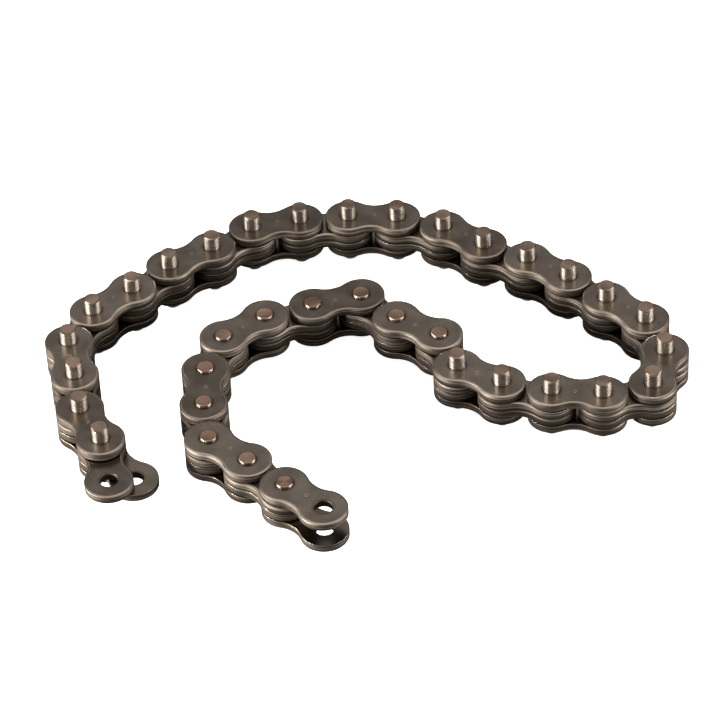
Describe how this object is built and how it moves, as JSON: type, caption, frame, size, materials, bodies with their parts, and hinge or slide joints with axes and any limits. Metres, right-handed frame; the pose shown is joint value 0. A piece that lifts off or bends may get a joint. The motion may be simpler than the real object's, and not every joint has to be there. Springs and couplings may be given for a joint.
{
  "type": "drive chain",
  "caption": "Leaf-built drive chain lying on its side in an open loop, with riveted links, a run of long pins, an open fork at one end and two loose leaves at the other.",
  "frame": {"origin": "centre of the chain's footprint, on the plane of the long pins' lower ends", "axes": "+Z along the pins, up; +X along the loop's longest side, from the loose end leaves towards the closed end of the loop"},
  "size_m": [0.1608, 0.1206, 0.0173],
  "materials": {
    "plate_steel": "satin black oxide, stamped edges brighter",
    "pin_steel": "bright ground steel"
  },
  "bodies": {
    "outer_link_01": {"outer_01_upper_plate": "plate_steel", "outer_01_lower_plate": "plate_steel", "outer_01_first_pin": "pin_steel", "outer_01_second_pin": "pin_steel"},
    "inner_link_01": {"inner_01_upper_leaf": "plate_steel", "inner_01_lower_leaf": "plate_steel"},
    "outer_link_02": {"outer_02_extended_link": "plate_steel"},
    "inner_link_02": {"inner_02_upper_leaf": "plate_steel", "inner_02_lower_leaf": "plate_steel"},
    "outer_link_03": {"outer_03_extended_link": "plate_steel"},
    "inner_link_03": {"inner_03_upper_leaf": "plate_steel", "inner_03_lower_leaf": "plate_steel"},
    "outer_link_04": {"outer_04_extended_link": "plate_steel"},
    "inner_link_04": {"inner_04_upper_leaf": "plate_steel", "inner_04_lower_leaf": "plate_steel"},
    "outer_link_05": {"outer_05_extended_link": "plate_steel"},
    "inner_link_05": {"inner_05_upper_leaf": "plate_steel", "inner_05_lower_leaf": "plate_steel"},
    "outer_link_06": {"outer_06_extended_link": "plate_steel"},
    "inner_link_06": {"inner_06_upper_leaf": "plate_steel", "inner_06_lower_leaf": "plate_steel"},
    "outer_link_07": {"outer_07_extended_link": "plate_steel"},
    "inner_link_07": {"inner_07_upper_leaf": "plate_steel", "inner_07_lower_leaf": "plate_steel"},
    "outer_link_08": {"outer_08_extended_link": "plate_steel"},
    "inner_link_08": {"inner_08_upper_leaf": "plate_steel", "inner_08_lower_leaf": "plate_steel"},
    "outer_link_09": {"outer_09_extended_link": "plate_steel"},
    "inner_link_09": {"inner_09_upper_leaf": "plate_steel", "inner_09_lower_leaf": "plate_steel"},
    "outer_link_10": {"outer_10_extended_link": "plate_steel"},
    "inner_link_10": {"inner_10_upper_leaf": "plate_steel", "inner_10_lower_leaf": "plate_steel"},
    "outer_link_11": {"outer_11_extended_link": "plate_steel"},
    "inner_link_11": {"inner_11_upper_leaf": "plate_steel", "inner_11_lower_leaf": "plate_steel"},
    "outer_link_12": {"outer_12_extended_link": "plate_steel"},
    "inner_link_12": {"inner_12_upper_leaf": "plate_steel", "inner_12_lower_leaf": "plate_steel"},
    "outer_link_13": {"outer_13_short_link": "plate_steel"},
    "inner_link_13": {"inner_13_upper_leaf": "plate_steel", "inner_13_lower_leaf": "plate_steel"},
    "outer_link_14": {"outer_14_short_link": "plate_steel"},
    "inner_link_14": {"inner_14_upper_leaf": "plate_steel", "inner_14_lower_leaf": "plate_steel"},
    "outer_link_15": {"outer_15_short_link": "plate_steel"},
    "inner_link_15": {"inner_15_upper_leaf": "plate_steel", "inner_15_lower_leaf": "plate_steel"},
    "outer_link_16": {"outer_16_short_link": "plate_steel"},
    "inner_link_16": {"inner_16_upper_leaf": "plate_steel", "inner_16_lower_leaf": "plate_steel"},
    "outer_link_17": {"outer_17_short_link": "plate_steel"},
    "inner_link_17": {"inner_17_upper_leaf": "plate_steel", "inner_17_lower_leaf": "plate_steel"},
    "outer_link_18": {"fork_upper_plate": "plate_steel", "fork_lower_plate": "plate_steel", "fork_pin": "pin_steel"},
    "end_leaf_upper": {"end_leaf_upper": "plate_steel"},
    "end_leaf_lower": {"end_leaf_lower": "plate_steel"}
  },
  "joints": [
    {"name": "pin_18_hinge", "type": "hinge", "parent": "outer_link_09", "child": "inner_link_09", "pos_m": [0.07078, 0.00801, 0.00865], "axis": [0, 0, 1], "range_deg": [-10, 105]},
    {"name": "pin_19_hinge", "type": "hinge", "parent": "inner_link_09", "child": "outer_link_10", "pos_m": [0.0745, -0.00413, 0.00865], "axis": [0, 0, -1], "range_deg": [-80, 10]},
    {"name": "pin_20_hinge", "type": "hinge", "parent": "outer_link_10", "child": "inner_link_10", "pos_m": [0.07036, -0.01614, 0.00865], "axis": [0, 0, 1], "range_deg": [-15, 115]},
    {"name": "pin_21_hinge", "type": "hinge", "parent": "inner_link_10", "child": "outer_link_11", "pos_m": [0.05794, -0.01878, 0.00865], "axis": [0, 0, -1], "range_deg": [-80, 15]},
    {"name": "pin_22_hinge", "type": "hinge", "parent": "outer_link_11", "child": "inner_link_11", "pos_m": [0.04539, -0.0168, 0.00865], "axis": [0, 0, -1], "range_deg": [-80, 20]},
    {"name": "pin_23_hinge", "type": "hinge", "parent": "inner_link_11", "child": "outer_link_12", "pos_m": [0.03332, -0.01287, 0.00865], "axis": [0, 0, 1], "range_deg": [-25, 65]},
    {"name": "pin_24_hinge", "type": "hinge", "parent": "outer_link_12", "child": "inner_link_12", "pos_m": [0.02266, -0.00596, 0.00865], "axis": [0, 0, 1], "range_deg": [-35, 80]},
    {"name": "pin_25_hinge", "type": "hinge", "parent": "inner_link_12", "child": "outer_link_13", "pos_m": [0.01874, 0.00612, 0.00865], "axis": [0, 0, -1], "range_deg": [-55, 30]},
    {"name": "pin_26_hinge", "type": "hinge", "parent": "outer_link_13", "child": "inner_link_13", "pos_m": [0.00834, 0.01341, 0.00865], "axis": [0, 0, 1], "range_deg": [-35, 30]},
    {"name": "pin_27_hinge", "type": "hinge", "parent": "inner_link_13", "child": "outer_link_14", "pos_m": [-0.00032, 0.0227, 0.00865], "axis": [0, 0, -1], "range_deg": [-40, 20]},
    {"name": "pin_28_hinge", "type": "hinge", "parent": "outer_link_14", "child": "inner_link_14", "pos_m": [-0.0127, 0.01984, 0.00865], "axis": [0, 0, 1], "range_deg": [-20, 40]},
    {"name": "pin_29_hinge", "type": "hinge", "parent": "inner_link_14", "child": "outer_link_15", "pos_m": [-0.02491, 0.01634, 0.00865], "axis": [0, 0, -1], "range_deg": [-40, 15]},
    {"name": "pin_30_hinge", "type": "hinge", "parent": "outer_link_15", "child": "inner_link_15", "pos_m": [-0.03544, 0.00924, 0.00865], "axis": [0, 0, -1], "range_deg": [-35, 15]},
    {"name": "pin_31_hinge", "type": "hinge", "parent": "inner_link_15", "child": "outer_link_16", "pos_m": [-0.03999, -0.00262, 0.00865], "axis": [0, 0, 1], "range_deg": [-25, 45]},
    {"name": "pin_32_hinge", "type": "hinge", "parent": "outer_link_16", "child": "inner_link_16", "pos_m": [-0.04043, -0.01531, 0.00865], "axis": [0, 0, 1], "range_deg": [-35, 65]},
    {"name": "pin_33_hinge", "type": "hinge", "parent": "inner_link_16", "child": "outer_link_17", "pos_m": [-0.03932, -0.02796, 0.00865], "axis": [0, 0, -1], "range_deg": [-60, 75]},
    {"name": "pin_34_hinge", "type": "hinge", "parent": "outer_link_17", "child": "inner_link_17", "pos_m": [-0.02989, -0.03646, 0.00865], "axis": [0, 0, 1], "range_deg": [-110, 115]},
    {"name": "pin_35_hinge", "type": "hinge", "parent": "inner_link_17", "child": "outer_link_18", "pos_m": [-0.02106, -0.0456, 0.00865], "axis": [0, 0, -1], "range_deg": [-110, 115]},
    {"name": "pin_17_hinge", "type": "hinge", "parent": "outer_link_09", "child": "inner_link_08", "pos_m": [0.06165, 0.01683, 0.00865], "axis": [0, 0, 1], "range_deg": [-70, 10]},
    {"name": "pin_16_hinge", "type": "hinge", "parent": "inner_link_08", "child": "outer_link_08", "pos_m": [0.05267, 0.02581, 0.00865], "axis": [0, 0, -1], "range_deg": [-10, 55]},
    {"name": "pin_15_hinge", "type": "hinge", "parent": "outer_link_08", "child": "inner_link_07", "pos_m": [0.0428, 0.03381, 0.00865], "axis": [0, 0, 1], "range_deg": [-55, 15]},
    {"name": "pin_14_hinge", "type": "hinge", "parent": "inner_link_07", "child": "outer_link_07", "pos_m": [0.03191, 0.04035, 0.00865], "axis": [0, 0, -1], "range_deg": [-15, 50]},
    {"name": "pin_13_hinge", "type": "hinge", "parent": "outer_link_07", "child": "inner_link_06", "pos_m": [0.0219, 0.04816, 0.00865], "axis": [0, 0, 1], "range_deg": [-90, 15]},
    {"name": "pin_12_hinge", "type": "hinge", "parent": "inner_link_06", "child": "outer_link_06", "pos_m": [0.01013, 0.05292, 0.00865], "axis": [0, 0, -1], "range_deg": [-10, 95]},
    {"name": "pin_11_hinge", "type": "hinge", "parent": "outer_link_06", "child": "inner_link_05", "pos_m": [-0.0025, 0.05425, 0.00865], "axis": [0, 0, 1], "range_deg": [-80, 10]},
    {"name": "pin_10_hinge", "type": "hinge", "parent": "inner_link_05", "child": "outer_link_05", "pos_m": [-0.0152, 0.05403, 0.00865], "axis": [0, 0, -1], "range_deg": [-10, 65]},
    {"name": "pin_09_hinge", "type": "hinge", "parent": "outer_link_05", "child": "inner_link_04", "pos_m": [-0.02771, 0.05182, 0.00865], "axis": [0, 0, -1], "range_deg": [-5, 85]},
    {"name": "pin_08_hinge", "type": "hinge", "parent": "inner_link_04", "child": "outer_link_04", "pos_m": [-0.03811, 0.04454, 0.00865], "axis": [0, 0, 1], "range_deg": [-70, 5]},
    {"name": "pin_07_hinge", "type": "hinge", "parent": "outer_link_04", "child": "inner_link_03", "pos_m": [-0.04911, 0.03819, 0.00865], "axis": [0, 0, 1], "range_deg": [-85, 5]},
    {"name": "pin_06_hinge", "type": "hinge", "parent": "inner_link_03", "child": "outer_link_03", "pos_m": [-0.05855, 0.02969, 0.00865], "axis": [0, 0, -1], "range_deg": [-5, 95]},
    {"name": "pin_05_hinge", "type": "hinge", "parent": "outer_link_03", "child": "inner_link_02", "pos_m": [-0.06842, 0.0217, 0.00865], "axis": [0, 0, 1], "range_deg": [-80, 5]},
    {"name": "pin_04_hinge", "type": "hinge", "parent": "inner_link_02", "child": "outer_link_02", "pos_m": [-0.07438, 0.01048, 0.00865], "axis": [0, 0, -1], "range_deg": [-5, 150]},
    {"name": "pin_03_hinge", "type": "hinge", "parent": "outer_link_02", "child": "inner_link_01", "pos_m": [-0.07261, -0.00209, 0.00865], "axis": [0, 0, 1], "range_deg": [-110, 10]},
    {"name": "pin_02_hinge", "type": "hinge", "parent": "inner_link_01", "child": "outer_link_01", "pos_m": [-0.07107, -0.0147, 0.00865], "axis": [0, 0, -1], "range_deg": [-15, 130]},
    {"name": "end_leaf_upper_hinge", "type": "hinge", "parent": "outer_link_01", "child": "end_leaf_upper", "pos_m": [-0.0657, -0.02621, 0.00865], "axis": [0, 0, 1], "range_deg": [-95, 130]},
    {"name": "end_leaf_lower_hinge", "type": "hinge", "parent": "outer_link_01", "child": "end_leaf_lower", "pos_m": [-0.0657, -0.02621, 0.00865], "axis": [0, 0, 1], "range_deg": [-125, 100]}
  ]
}
